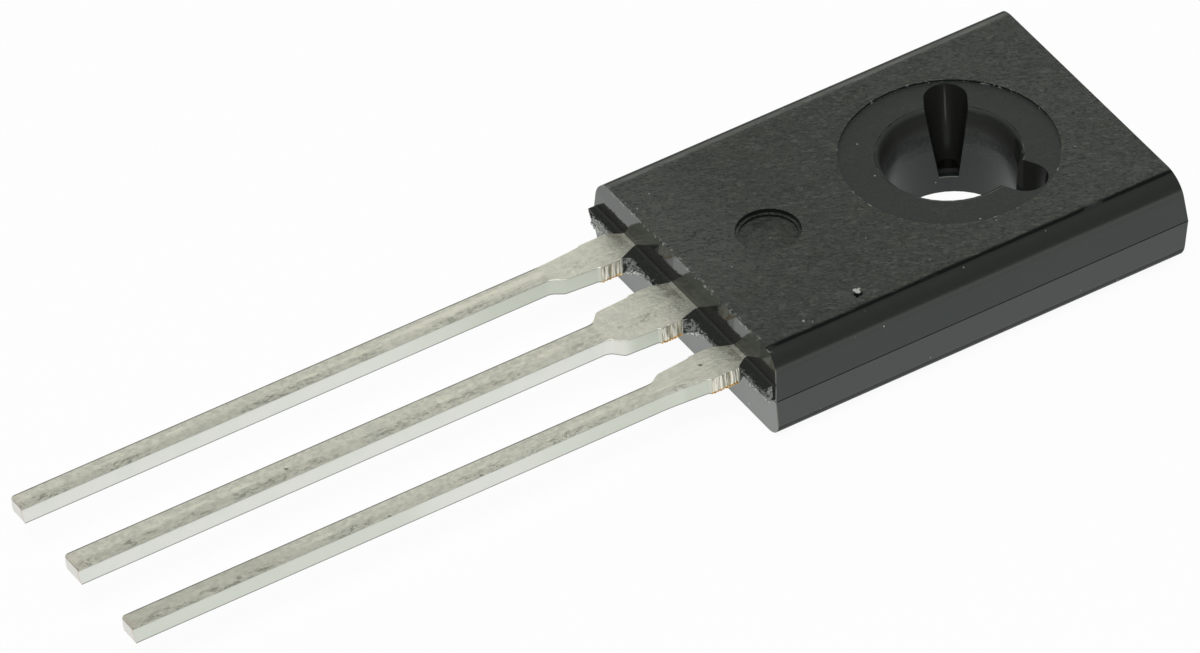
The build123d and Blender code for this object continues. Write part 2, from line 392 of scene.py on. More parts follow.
def epoxy_places(epoxy):
    """Masks that are 1 on one part of the moulding and 0 elsewhere."""
    at = SimpleNamespace()
    at.radius = epoxy.length(epoxy.x, epoxy.y)
    ragged = epoxy.sway(epoxy.noise(4.0, 4.0, 0.6, (1.0, 0.35, 1.0)), 0.12)
    high = epoxy.step(epoxy.z, BODY_TOP - 0.22, BODY_TOP - 0.16)
    at.top = epoxy.times(epoxy.step(epoxy.plus(epoxy.nz, ragged), 0.955, 0.990), high)
    at.seat = epoxy.times(at.top, epoxy.step(at.radius, SEAT_RADIUS + 0.01, SEAT_RADIUS - 0.02))

    # Bore, with the notches and the rounded lip of its mouth
    within = epoxy.step(at.radius, SEAT_RADIUS - 0.03, SEAT_RADIUS - 0.05)
    at.inside = epoxy.times(within, epoxy.inverse(at.top))
    at.outside = epoxy.inverse(at.inside)
    at.notch = epoxy.times(at.inside, epoxy.step(at.radius, MOUTH_RADIUS + 0.06, MOUTH_RADIUS + 0.10))
    mouth = epoxy.step(epoxy.z, BODY_TOP - 0.30, BODY_TOP - 0.16)
    at.lip = epoxy.times(at.inside, mouth, epoxy.inverse(at.notch))

    # Torn webs beside the leads
    at.web_end = epoxy.step(epoxy.y, BODY_END - 0.005, BODY_END - 0.03)
    web_top = epoxy.times(
        epoxy.step(epoxy.nz, 0.8, 0.95),
        epoxy.band(epoxy.z, LEAD_TOP - 0.09, LEAD_TOP + 0.08, 0.02),
        epoxy.step(epoxy.y, BODY_END + 0.2, BODY_END + 0.1),
    )
    at.web = epoxy.larger(at.web_end, web_top)

    # End face at the leads, and the patches of it that reflect less
    at_end = epoxy.step(epoxy.y, BODY_END + 0.3, BODY_END + 0.2)
    at.end_face = epoxy.times(epoxy.step(epoxy.ny, -0.90, -0.98), at_end)
    patches = epoxy.plus(
        epoxy.band(epoxy.x, -1.10, -0.50, 0.04),
        epoxy.band(epoxy.x, 1.42, 2.02, 0.04),
        epoxy.step(epoxy.x, 3.00, 3.15),
    )
    at.dimmed = epoxy.times(patches, at.end_face, epoxy.step(epoxy.z, BODY_TOP - 0.50, BODY_TOP - 0.40))

    # Back, sides and rounded long edges
    at.back = epoxy.step(epoxy.nz, -0.11, -0.30)
    upper_half = epoxy.step(epoxy.z, BODY_TOP - 0.72, BODY_TOP - 0.52)
    at.far_side = epoxy.times(epoxy.step(epoxy.nx, -0.1, -0.3), upper_half)
    above_parting = epoxy.step(epoxy.z, PARTING, PARTING + 0.04)
    at.near_side = epoxy.times(epoxy.step(epoxy.nx, 0.95, 0.99), above_parting)
    at.rolled_edge_painted_light = epoxy.times(
        epoxy.band(epoxy.nz, 0.25, 0.92, 0.05),
        epoxy.step(epoxy.z, BODY_TOP - 0.52, BODY_TOP - 0.42),
        epoxy.step(epoxy.nx, 0.1, 0.3),
    )
    at.parting_line = epoxy.times(epoxy.band(epoxy.z, PARTING - 0.015, PARTING + 0.015, 0.008), at.outside)

    # Broken line where the top's texture ends at the long edge on the base side
    at.edge_line = epoxy.times(
        epoxy.band(epoxy.plus(epoxy.nz, epoxy.times(ragged, 0.25)), 0.935, 0.985, 0.010),
        high,
        at.outside,
        epoxy.step(epoxy.nx, -0.12, -0.05),
        epoxy.step(epoxy.noise(3.0, 4.0, 0.6, (1.0, 0.15, 1.0)), 0.36, 0.46),
    )

    # Sharp upright corners at the leads, which lean with the draft
    height = epoxy.amount(epoxy.minus(epoxy.z, PARTING))
    lean = epoxy.times(height, math.tan(math.radians(DRAFT_ANGLE)))
    at.corner = epoxy.times(
        epoxy.step(epoxy.plus(epoxy.amount(epoxy.x), lean), HALF_WIDTH - 0.035, HALF_WIDTH - 0.01),
        epoxy.step(epoxy.minus(lean, epoxy.y), -BODY_END - 0.03, -BODY_END - 0.005),
    )

    # Crumb on the top near the long edge, with a painted shadow beside it
    jagged = epoxy.sway(epoxy.noise(9.0, 3.0, 0.6), 0.22)
    topmost = epoxy.step(epoxy.z, BODY_TOP - 0.12, BODY_TOP - 0.02)
    at.painted_crumb_shadow = epoxy.times(epoxy.spot(CRUMB_SHADOW_PLACE, 0.10, jagged), topmost)
    at.crumb = epoxy.times(epoxy.spot(CRUMB_PLACE, 0.08, jagged), topmost)
    return at


def epoxy_top_colour(epoxy, at, texture):
    """Matt top with ripples, painted with a highlight on each crest and shade in each trough: paler towards
    the leads and the emitter side, dark in the washer seat.
    """
    colour = epoxy.mix(epoxy.step(texture.cloud, 0.35, 0.7), EPOXY.matt, EPOXY.clouded_matt)
    colour = epoxy.over(colour, EPOXY.far_end, epoxy.step(epoxy.y, -3.0, 4.0, 0.0, 0.5))
    stain = epoxy.noise(0.9, 4.0, 0.6, distortion=1.2)
    colour = epoxy.over(colour, EPOXY.stain, epoxy.step(stain, 0.52, 0.72), 0.5)
    near_leads = epoxy.times(epoxy.step(epoxy.y, -4.4, -6.6), epoxy.step(epoxy.x, 2.6, -0.4))
    emitter_side = epoxy.step(epoxy.x, -3.05, -3.45)
    colour = epoxy.over(colour, EPOXY.paler, epoxy.larger(near_leads, emitter_side), 0.75)
    # Painted highlight on the ripples' crests and painted shade in their troughs
    colour = epoxy.over(colour, EPOXY.painted_ripple_highlight, epoxy.step(texture.ripple, 0.53, 0.63), 0.9)
    colour = epoxy.over(colour, EPOXY.painted_ripple_shade, epoxy.step(texture.ripple, 0.48, 0.39), 0.9)
    return epoxy.over(colour, EPOXY.seat, at.seat, 0.92)


def epoxy_side_colour(epoxy, at, texture):
    """Dark gloss of the sides, the end face with painted reflection, the rounded edges, one with painted
    light, and the dusty bore.
    """
    colour = epoxy.mix(epoxy.step(texture.cloud, 0.3, 0.7), EPOXY.gloss, EPOXY.clouded_gloss)
    # Lighter end face as painted reflection: lightest on its lower half, where it mirrors the floor, and in
    # a band above the leads
    colour = epoxy.over(colour, EPOXY.end_face, at.end_face)
    lower_half = epoxy.step(epoxy.z, PARTING + 0.02, PARTING - 0.02)
    colour = epoxy.over(colour, EPOXY.painted_floor_reflection, at.end_face, lower_half)
    above_leads = epoxy.band(epoxy.z, LEAD_TOP - 0.04, LEAD_TOP + 0.36, 0.06)
    colour = epoxy.over(colour, EPOXY.painted_reflection_band, at.end_face, above_leads)
    # Painted light on the rounded long edge on the base side
    colour = epoxy.over(colour, EPOXY.rolled_edge_painted_light, at.rolled_edge_painted_light)

    colour = epoxy.over(colour, EPOXY.bore, at.inside)
    height = epoxy.plus(epoxy.z, epoxy.sway(epoxy.noise(6.0, 4.0, 0.7), 0.7))
    colour = epoxy.over(colour, EPOXY.upper_bore, at.inside, epoxy.step(height, 1.6, 1.8))
    dusty = epoxy.step(epoxy.noise(13.0, 4.0, 0.75), 0.52, 0.66)
    colour = epoxy.over(colour, EPOXY.bore_dust, at.inside, dusty, epoxy.band(height, 1.2, 1.8, 0.2), 0.8)
    colour = epoxy.over(colour, EPOXY.lip, at.lip)
    colour = epoxy.over(colour, EPOXY.notch, at.notch)
    return epoxy.over(colour, EPOXY.parting_line, at.parting_line)


def epoxy_edges(epoxy, at, colour):
    """Lines along the top's long edges, one with a painted highlight and painted shade, painted highlights
    on the upright corners, and chips along the edge over the leads.
    """
    colour = epoxy.over(colour, EPOXY.edge_line, at.edge_line)

    # Painted highlight along the rounded long edge at the emitter side, with painted shade where it turns
    # down
    painted_verge_highlight = epoxy.times(
        epoxy.step(epoxy.nx, -0.05, -0.12),
        epoxy.step(epoxy.z, BODY_TOP - 0.42, BODY_TOP - 0.32),
        at.outside,
    )
    verge_colour = epoxy.mix(epoxy.step(epoxy.nz, 0.915, 0.945), EPOXY.painted_verge_shade, EPOXY.painted_verge_highlight)
    colour = epoxy.over(colour, verge_colour, painted_verge_highlight)

    # Painted highlight on the upright corners at the leads
    colour = epoxy.over(colour, EPOXY.painted_corner_highlight, at.corner, 0.75)
    chips = epoxy.times(
        epoxy.step(epoxy.z, BODY_TOP - 0.09, BODY_TOP - 0.03),
        epoxy.step(epoxy.y, BODY_END + 0.19, BODY_END + 0.135),
        epoxy.step(epoxy.noise(8.0, 3.0, 0.7), 0.54, 0.60),
    )
    return epoxy.over(colour, EPOXY.chip, chips, 0.85)


def epoxy_marks(epoxy, at, texture, colour):
    """Dust, flecks on the seat's rim, a crumb with its painted shadow, a pale line down the far notch and
    painted highlights where the notches' floors meet the bore.
    """
    dust = epoxy.larger(epoxy.specks(1.7, 0.075, 0.28), epoxy.specks(3.5, 0.085, 0.10))
    colour = epoxy.over(colour, EPOXY.dust, dust, epoxy.inverse(at.web), 0.8)
    rim = epoxy.times(
        epoxy.band(at.radius, SEAT_RADIUS - 0.015, SEAT_RADIUS + 0.025, 0.01),
        epoxy.step(epoxy.z, BODY_TOP - 0.22, BODY_TOP - 0.12),
    )
    flecks = epoxy.step(epoxy.noise(6.0, 3.0, 0.6), 0.60, 0.66)
    colour = epoxy.over(colour, EPOXY.rim_fleck, rim, flecks, 0.7)
    # Painted shadow beside the crumb, then the pale crumb
    colour = epoxy.over(colour, EPOXY.painted_crumb_shadow, at.painted_crumb_shadow)
    colour = epoxy.over(colour, EPOXY.crumb, at.crumb)

    # Line down the back of the far notch, and a thin painted highlight where a notch's floor meets the bore
    notch_line = epoxy.times(
        epoxy.band(texture.along, -0.020, 0.014, 0.016),
        epoxy.step(texture.left, NOTCH_END_RADIUS + 0.13, NOTCH_END_RADIUS + 0.23),
        epoxy.band(epoxy.z, BORE_STRAIGHT, BODY_TOP - 0.22, 0.25),
        at.inside,
    )
    colour = epoxy.over(colour, EPOXY.notch_line, notch_line, 0.8)
    painted_sill_highlight = epoxy.times(
        epoxy.step(at.radius, BORE_RADIUS + 0.04, BORE_RADIUS + 0.02),
        epoxy.band(epoxy.z, PLATE_TOP - 0.02, PLATE_TOP + 0.02, 0.02),
        epoxy.step(epoxy.nz, 0.5, 0.8),
    )
    return epoxy.over(colour, EPOXY.painted_sill_highlight, painted_sill_highlight)


def epoxy_webs(epoxy, at, texture, colour):
    """Torn webs: dark crumbs, and pale filler grains on the broken fronts, palest beyond the emitter, with
    painted light in the corner where the webs meet the end face.
    """
    torn = epoxy.mix(epoxy.step(texture.crumble, 0.55, 0.68), EPOXY.torn, EPOXY.torn_grain)
    front = epoxy.times(at.web_end, epoxy.step(epoxy.nz, 0.6, 0.3))
    beyond = epoxy.step(epoxy.x, -LEAD_PITCH - 0.12, -LEAD_PITCH - 0.32)
    grains = epoxy.plus(epoxy.noise(8.0, 4.0, 0.75), epoxy.times(beyond, 0.14))
    sparkle = epoxy.step(epoxy.noise(18.0, 4.0, 0.7), 0.40, 0.60)
    filler = epoxy.mix(sparkle, EPOXY.filler, EPOXY.bright_filler)
    fresh = epoxy.mix(beyond, EPOXY.fresh, filler)
    torn = epoxy.over(torn, fresh, front, epoxy.step(grains, 0.42, 0.56))
    colour = epoxy.over(colour, torn, at.web)
    # Painted light that lifts the shade in the corner where the webs meet the end face
    seam = epoxy.times(
        epoxy.band(epoxy.y, BODY_END - 0.03, BODY_END + 0.06, 0.015),
        epoxy.band(epoxy.z, LEAD_TOP - 0.02, LEAD_TOP + 0.08, 0.02),
    )
    return epoxy.over(colour, EPOXY.seam, seam)


def epoxy_roughness(epoxy, at, texture):
    """Polished sides and end face, a satin top and rough webs."""
    polished = epoxy.changed(
        0.18,
        (epoxy.noise(3.0), 0.10),
        (at.parting_line, 0.4),
        (at.corner, 0.4),
        (at.inside, 0.10),
        (at.lip, 0.35),
        (at.far_side, 0.3),
        (at.back, 0.3),
        (at.edge_line, 0.3),
        (at.end_face, -0.13),
    )
    satin = epoxy.changed(0.46, (texture.grain, 0.22))
    return epoxy.blend(at.web, epoxy.blend(at.top, polished, satin), 0.85)


def epoxy_shine(epoxy, at):
    """Strength of the reflection: more on the end face, less in hollows, on the far side and the back."""
    return epoxy.changed(
        0.5,
        (at.seat, -0.08),
        (at.inside, -0.14),
        (at.notch, -0.20),
        (at.end_face, 0.30),
        (at.back, -0.35),
        (at.far_side, -0.46),
        (at.parting_line, -0.38),
        (at.edge_line, -0.42),
        (at.near_side, -0.07),
        (at.painted_crumb_shadow, -0.48),
        (at.dimmed, -0.45),
    )


def epoxy_relief(epoxy, at, texture):
    """Parting groove, faint waves on the polish, spark texture on the top and crumbling webs."""
    groove = epoxy.bump(epoxy.inverse(at.parting_line), 0.012, 0.8)
    waves = epoxy.bump(epoxy.noise(1.3, 2.0), 0.004, epoxy.inverse(at.top), groove)
    sparked = epoxy.times(at.top, epoxy.inverse(epoxy.times(at.seat, 0.6)))
    spark = epoxy.plus(epoxy.times(texture.grain, 0.5), texture.ripple)
    spark = epoxy.bump(spark, 0.105, sparked, waves)
    return epoxy.bump(texture.crumble, 0.16, at.web, spark)


def epoxy_finish():
    """Black moulding epoxy: spark-textured top, polished sides and bore, torn webs at the leads."""
    epoxy = Finish("epoxy")
    at = epoxy_places(epoxy)
    texture = epoxy_textures(epoxy)
    sides = epoxy_side_colour(epoxy, at, texture)
    colour = epoxy.mix(at.top, sides, epoxy_top_colour(epoxy, at, texture))
    colour = epoxy_edges(epoxy, at, colour)
    colour = epoxy_marks(epoxy, at, texture, colour)
    colour = epoxy_webs(epoxy, at, texture, colour)
    return epoxy.set(
        Base_Color=colour,
        Roughness=epoxy_roughness(epoxy, at, texture),
        Normal=epoxy_relief(epoxy, at, texture),
        IOR=1.6,
        Specular_IOR_Level=epoxy_shine(epoxy, at),
        Specular_Tint=EPOXY.shine,
    )


def fracture_finish():
    """Freshly broken epoxy: pale filler grains in a dark binder."""
    broken = Finish("broken_epoxy")
    chance = broken.cells(30.0)[1]
    colour = broken.mix(broken.step(chance, 0.20, 0.65), rgb(0.26, 0.27, 0.255), rgb(0.82, 0.84, 0.80))
    binder = broken.step(broken.noise(9.0, 4.0, 0.7), 0.60, 0.66)
    colour = broken.over(colour, rgb(0.03, 0.03, 0.027), binder)
    return broken.set(
        Base_Color=colour,
        Roughness=broken.changed(0.55, (broken.noise(20.0), 0.3)),
        Normal=broken.bump(broken.noise(40.0, 3.0, 0.6), 0.01, 0.8),
    )


def tin_places(tin):
    """Masks for the parts of the leads. A lane is one lead: -1 the emitter, 0 the collector, 1 the base."""
    at = SimpleNamespace()
    at.lane = tin.math("ROUND", tin.math("DIVIDE", tin.x, LEAD_PITCH))
    at.outer_lead = tin.amount(at.lane)
    at.across = tin.minus(tin.x, tin.times(at.lane, LEAD_PITCH))
    at.half_width = tin.blend(at.outer_lead, CENTRE_BLADE, OUTER_BLADE)
    at.emitter = tin.step(tin.x, -2.0, -2.2)
    at.base = tin.step(tin.x, 2.0, 2.2)
    at.blade = tin.step(tin.y, BLADE_START + 0.04, BLADE_START - 0.08)
    at.top = tin.times(tin.step(tin.nz, 0.6, 0.9), tin.step(tin.z, PARTING + 0.08, PARTING + 0.18))
    at.flank = tin.times(tin.step(tin.nz, 0.5, 0.2), tin.step(tin.nz, -0.5, -0.2))

    # Flanks where the dam bar was sheared off
    outward = tin.step(tin.times(at.lane, at.across), 0.30, 0.34)
    stub_end = tin.blend(outward, DAM_NEAR - 0.01, OUTER_DAM_NEAR - 0.01)
    at.cut = tin.times(
        tin.step(tin.y, DAM_FAR - 0.02, DAM_FAR + 0.02),
        tin.step(tin.minus(tin.y, stub_end), 0.02, -0.02),
        at.flank,
        tin.step(tin.z, PARTING - 0.12, PARTING - 0.02),
    )
    return at


def tin_textures(tin, at):
    """Noises and marks that more than one part of the tin's finish uses."""
    scuff = tin.noise(9.0, 5.0, 0.75, (1.2, 0.5, 1.0), 0.6)
    rubs = tin.times(
        tin.band(at.across, 0.05, 0.30, 0.06),
        tin.step(scuff, 0.50, 0.60),
        tin.step(tin.noise(0.8, 2.0), 0.38, 0.56),
    )
    return SimpleNamespace(
        streak=tin.noise(5.0, 5.0, 0.65, (1.5, 0.10, 1.0)),
        mottle=tin.noise(9.0, 5.0, 0.7, (1.0, 0.7, 1.0)),
        blotch=tin.noise(1.3, 4.0, 0.6),
        ridge=tin.noise(7.0, 3.0, 0.6, (1.0, 1.6, 0.16)),
        pits=tin.specks(2.3, 0.14, 0.16),
        scuff=scuff,
        rubs=rubs,
    )


def tin_top_colour(tin, at, texture):
    """Mottled tops with bright streaks along the middle, partly painted sheen on the emitter, scuffs at the
    near edge and marks at the root.
    """
    colour = tin.mix(tin.step(texture.mottle, 0.36, 0.64), TIN.dark_mottle, TIN.light_mottle)
    colour = tin.over(colour, TIN.wide_part, tin.inverse(at.blade), 0.35)
    colour = tin.over(colour, TIN.blotch, tin.step(texture.blotch, 0.50, 0.66), 0.4)
    streaks = tin.times(
        tin.band(at.across, -0.13, 0.06, 0.05),
        tin.step(texture.streak, 0.48, 0.62),
        tin.step(texture.blotch, 0.44, 0.54),
    )
    # Emitter's bright streaks, partly painted sheen
    emitter_streaks_and_sheen = tin.times(
        at.emitter,
        tin.band(tin.y, -12.8, -9.2, 0.3),
        tin.band(at.across, -0.14, 0.10, 0.05),
        tin.step(texture.streak, 0.38, 0.52),
    )
    colour = tin.over(colour, TIN.streak, tin.larger(streaks, emitter_streaks_and_sheen), 0.6)

    # Wear that grows towards the tips, with scuffs along the near edge
    worn = tin.times(tin.step(at.across, -0.02, 0.12), at.blade)
    colour = tin.over(colour, TIN.worn, worn, tin.step(tin.y, WEAR_START, WEAR_END, 0.12, 0.34))
    tired = tin.times(at.base, tin.step(tin.y, -17.5, -19.5), tin.step(at.across, 0.10, 0.02))
    colour = tin.over(colour, TIN.tired, tired, 0.45)
    rub_share = tin.blend(at.blade, 0.25, tin.step(tin.y, WEAR_START, WEAR_END, 0.5, 0.7))
    colour = tin.over(colour, TIN.rub, texture.rubs, rub_share)

    # Bright marks across the wide part, epoxy that bled on to the root, and the line where it ends
    wide_part = tin.band(tin.y, BLADE_START + 0.09, DAM_FAR - 0.15, 0.15)
    cross = tin.step(tin.noise(7.0, 4.0, 0.7, (0.25, 1.6, 1.0), 0.5), 0.58, 0.66)
    colour = tin.over(colour, TIN.cross_mark, wide_part, cross, 0.5)
    bleed = tin.times(
        tin.step(tin.y, BODY_END - 0.42, BODY_END - 0.20),
        tin.step(texture.scuff, 0.40, 0.56),
        tin.step(at.across, 0.45, 0.0),
    )
    colour = tin.over(colour, TIN.bleed, bleed, 0.6)
    colour = tin.over(colour, TIN.root_line, tin.step(tin.y, BODY_END - 0.075, BODY_END - 0.045, 0.0, 0.6))

    colour = tin.over(colour, TIN.pit, texture.pits, 0.7)
    far_edge = tin.step(tin.plus(at.across, at.half_width), 0.050, 0.028)
    return tin.over(colour, TIN.far_edge, far_edge, at.blade, 0.9)


def tin_side_colour(tin, at, texture):
    """Plain sides: duller towards the body and on the base lead's outer half, dark at the lower edge."""
    colour = tin.mix(tin.step(texture.blotch, 0.40, 0.60), TIN.side, TIN.clouded_side)
    colour = tin.over(colour, TIN.side_fleck, tin.step(texture.mottle, 0.66, 0.80))
    dull_root = tin.times(
        tin.step(tin.y, -14.0, -9.4),
        at.outer_lead,
        tin.step(tin.x, 2.0, 2.2, 1.0, 0.7),
    )
    dull_wide_part = tin.step(tin.y, -9.0, -8.5)
    dull_base = tin.times(at.base, tin.step(tin.y, -15.0, -16.0), 0.45)
    dull = tin.larger(dull_root, dull_wide_part, dull_base)
    outside = tin.step(tin.y, BODY_END, BODY_END - 0.1)
    colour = tin.over(colour, TIN.dull_side, dull, at.flank, outside)
    lower_edge = tin.step(tin.z, PARTING + 0.036, PARTING + 0.014)
    return tin.over(colour, TIN.lower_edge, lower_edge, at.flank, 0.8)


def tin_bare_metal(tin, at, texture, colour):
    """Sheared flanks at the dam-bar stubs, and copper that shows at the cut tips."""
    sheared = tin.mix(tin.step(texture.ridge, 0.38, 0.56), TIN.shear_groove, TIN.shear_ridge)
    height = tin.plus(tin.z, tin.times(texture.mottle, 0.05))
    sheared = tin.over(sheared, TIN.shear_copper, tin.step(height, PARTING + 0.065, PARTING + 0.03), 0.85)
    colour = tin.over(colour, sheared, at.cut)

    # Copper on the tops of the tips, end faces darkened a little as painted shade, and copper on one
    # upright edge of the ends
    patchy = tin.plus(tin.y, tin.times(tin.step(texture.blotch, 0.3, 0.7), 0.25))
    tip = tin.step(patchy, LEAD_TIP + 0.42, LEAD_TIP + 0.12)
    colour = tin.over(colour, TIN.tip_copper, tip, at.top, 0.30)
    end = tin.step(tin.ny, -0.7, -0.9)
    # End faces of the tips, a little darker as painted shade
    colour = tin.over(colour, TIN.tip_end_with_painted_shade, end)
    edge = tin.step(tin.minus(at.half_width, at.across), 0.075, 0.030)
    return tin.over(colour, TIN.tip_edge, end, edge, 0.8)


def tin_plate(tin, texture, colour):
    """Heat-spreader plate: rubs and scratches on its bare back, and painted shade on its top down in the
    notches.
    """
    back = tin.times(tin.step(tin.z, 0.06, 0.03), tin.step(tin.nz, -0.7, -0.9))
    colour = tin.over(colour, TIN.plate_patch, back, tin.step(texture.blotch, 0.45, 0.62), 0.5)
    scratch = tin.noise(5.0, 4.0, 0.7, (0.14, 1.8, 1.0), 0.4)
    colour = tin.over(colour, TIN.plate_scratch, back, tin.step(scratch, 0.60, 0.70), 0.6)
    # Painted shade on the plate's top down in the notches
    notch_shade_mask = tin.times(tin.step(tin.z, PLATE_TOP + 0.08, PLATE_TOP + 0.03), tin.step(tin.nz, 0.5, 0.7))
    return tin.over(colour, TIN.painted_notch_shade, notch_shade_mask)


def tin_relief(tin, at, texture):
    """Mottled tops, ridges on the sheared flanks, pits and scuffs."""
    marks = tin.plus(tin.times(texture.mottle, 0.8), tin.times(texture.streak, 0.5))
    marks = tin.bump(marks, 0.03, at.top)
    shear = tin.bump(texture.ridge, 0.05, at.cut, marks)
    dents = tin.times(tin.larger(texture.pits, tin.times(texture.rubs, 0.5)), at.top)
    return tin.bump(tin.inverse(dents), 0.02, 0.8, shear)


def tin_finish():
    """Matt tin on stamped copper: scuffed tops, plain sides, bare sheared metal at the dam-bar cuts."""
    tin = Finish("tinned_copper")
    at = tin_places(tin)
    texture = tin_textures(tin, at)
    sides = tin_side_colour(tin, at, texture)
    colour = tin.mix(at.top, sides, tin_top_colour(tin, at, texture))
    colour = tin_bare_metal(tin, at, texture, colour)
    colour = tin_plate(tin, texture, colour)
    return tin.set(
        Base_Color=colour,
        Roughness=tin.changed(0.34, (texture.mottle, 0.16), (tin.inverse(at.top), -0.04)),
        Normal=tin_relief(tin, at, texture),
        Metallic=1.0,
    )


def copper_finish():
    """Bare torn copper, tarnished in places."""
    copper = Finish("bare_copper")
    tarnish = copper.step(copper.noise(14.0, 4.0, 0.7), 0.40, 0.62)
    return copper.set(
        Base_Color=copper.mix(tarnish, rgb(0.62, 0.34, 0.10), rgb(0.88, 0.72, 0.42)),
        Roughness=copper.changed(0.35, (copper.noise(25.0), 0.3)),
        Metallic=1.0,
    )


def silicon_finish():
    """Polished silicon, faintly clouded."""
    silicon = Finish("silicon")
    cloud = silicon.step(silicon.noise(3.0), 0.4, 0.6)
    return silicon.set(
        Base_Color=silicon.mix(cloud, rgb(0.17, 0.17, 0.20), rgb(0.23, 0.23, 0.26)),
        Roughness=silicon.changed(0.12, (silicon.noise(8.0), 0.1)),
    )


def solder_finish():
    """Dull grey solder."""
    solder = Finish("solder")
    return solder.set(
        Base_Color=solder.mix(solder.noise(5.0, 4.0), rgb(0.42, 0.42, 0.44), rgb(0.58, 0.58, 0.60)),
        Roughness=solder.changed(0.35, (solder.noise(9.0), 0.2)),
        Metallic=1.0,
    )


def wire_finish():
    """Drawn aluminium wire."""
    wire = Finish("wire")
    return wire.set(
        Base_Color=wire.mix(wire.noise(7.0), rgb(0.72, 0.72, 0.73), rgb(0.80, 0.80, 0.81)),
        Roughness=wire.changed(0.2, (wire.noise(12.0), 0.15)),
        Metallic=1.0,
    )


def floor_finish():
    """White floor that stays white to the eye and still takes a soft shadow."""
    material = bpy.data.materials.new("floor_white")
    material.use_nodes = True
    tree = material.node_tree
    tree.nodes.remove(tree.nodes["Principled BSDF"])
    paper = tree.nodes.new("ShaderNodeBsdfDiffuse")
    paper.inputs["Color"].default_value = rgb(FLOOR_GREY, FLOOR_GREY, FLOOR_GREY)
    white = tree.nodes.new("ShaderNodeEmission")
    white.inputs["Color"].default_value = rgb(1.0, 1.0, 1.0)
    white.inputs["Strength"].default_value = 1.0
    rays = tree.nodes.new("ShaderNodeLightPath")
    seen = tree.nodes.new("ShaderNodeMath")
    seen.operation = "MAXIMUM"
    for (ray, share), socket in zip(FLOOR_WHITE.items(), seen.inputs):
        part = tree.nodes.new("ShaderNodeMath")
        part.operation = "MULTIPLY"
        tree.links.new(rays.outputs[ray], part.inputs[0])
        part.inputs[1].default_value = share
        tree.links.new(part.outputs[0], socket)
    both = tree.nodes.new("ShaderNodeMixShader")
    tree.links.new(seen.outputs[0], both.inputs[0])
    tree.links.new(paper.outputs[0], both.inputs[1])
    tree.links.new(white.outputs[0], both.inputs[2])
    tree.links.new(both.outputs[0], tree.nodes["Material Output"].inputs["Surface"])
    return material


def add_piece(name, mesh, material):
    """Makes a piece of the part from a mesh, on the root body."""
    data = bpy.data.meshes.new(name)
    mesh.to_mesh(data)
    mesh.free()
    data.materials.append(material)
    piece = bpy.data.objects.new(name, data)
    bpy.context.scene.collection.objects.link(piece)
    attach(piece, "root")


def torn_ring(middle, along, thick, swell, sides, rng):
    """One uneven ring of places round a path, square to it but for small jolts."""
    out = along.cross(UP).normalized()
    ring = []
    for side in range(sides):
        angle = 2 * math.pi * side / sides + rng.uniform(-EDGE_JOLT, EDGE_JOLT)
        reach = thick * swell * rng.uniform(EDGE_THINNEST, EDGE_THICKEST)
        place = middle + (out * math.cos(angle) + UP * math.sin(angle)) * reach
        ring.append(place + along * rng.uniform(-EDGE_JOLT, EDGE_JOLT) * thick)
    return ring


def torn_edge(name, path, seed, material, thick=0.06, sides=7):
    """A ragged broken rim along a path in millimetres: an uneven tube with facets, closed at its ends."""
    rng = random.Random(seed)
    points = [Vector(point) for point in path]
    mesh = bmesh.new()
    rings = []
    swell = SWELL_START
    for index, point in enumerate(points):
        before = points[max(index - 1, 0)]
        after = points[min(index + 1, len(points) - 1)]
        along = (after - before).normalized()
        swell = swell + rng.uniform(-SWELL_CHANGE, SWELL_CHANGE)
        swell = min(SWELL_MOST, max(SWELL_LEAST, swell))
        middle = point + UP * (rng.uniform(-EDGE_JOLT, EDGE_JOLT) * thick)
        ring = torn_ring(middle, along, thick, swell, sides, rng)
        rings.append([mesh.verts.new(place * MM) for place in ring])
    for first, second in zip(rings, rings[1:]):
        for side in range(sides):
            turn = (side + 1) % sides
            mesh.faces.new((first[side], first[turn], second[turn], second[side]))
    mesh.faces.new(rings[0][::-1])
    mesh.faces.new(rings[-1])
    bmesh.ops.triangulate(mesh, faces=mesh.faces[:])
    bmesh.ops.recalc_face_normals(mesh, faces=mesh.faces[:])
    add_piece(name, mesh, material)


def straight_run(first, last, pitch):
    """Places along a straight line, about pitch apart."""
    count = max(2, round(math.dist(first, last) / pitch))
    shares = [index / count for index in range(count + 1)]
    return [tuple(a + (b - a) * share for a, b in zip(first, last)) for share in shares]


def tongue_run(flank, z, count=16):
    """Places along the hollow curve of a tongue, from the lead's flank to the web."""
    centre_x = flank + TONGUE_CENTRE[0]
    centre_y = BODY_END + TONGUE_CENTRE[1]
    run = []
    for index in range(count + 1):
        angle = math.radians(TONGUE_START + (TONGUE_STOP - TONGUE_START) * index / count)
        x = centre_x + TONGUE_RADIUS * math.cos(angle)
        y = centre_y + TONGUE_RADIUS * math.sin(angle)
        run.append((x, y, z))
    return run


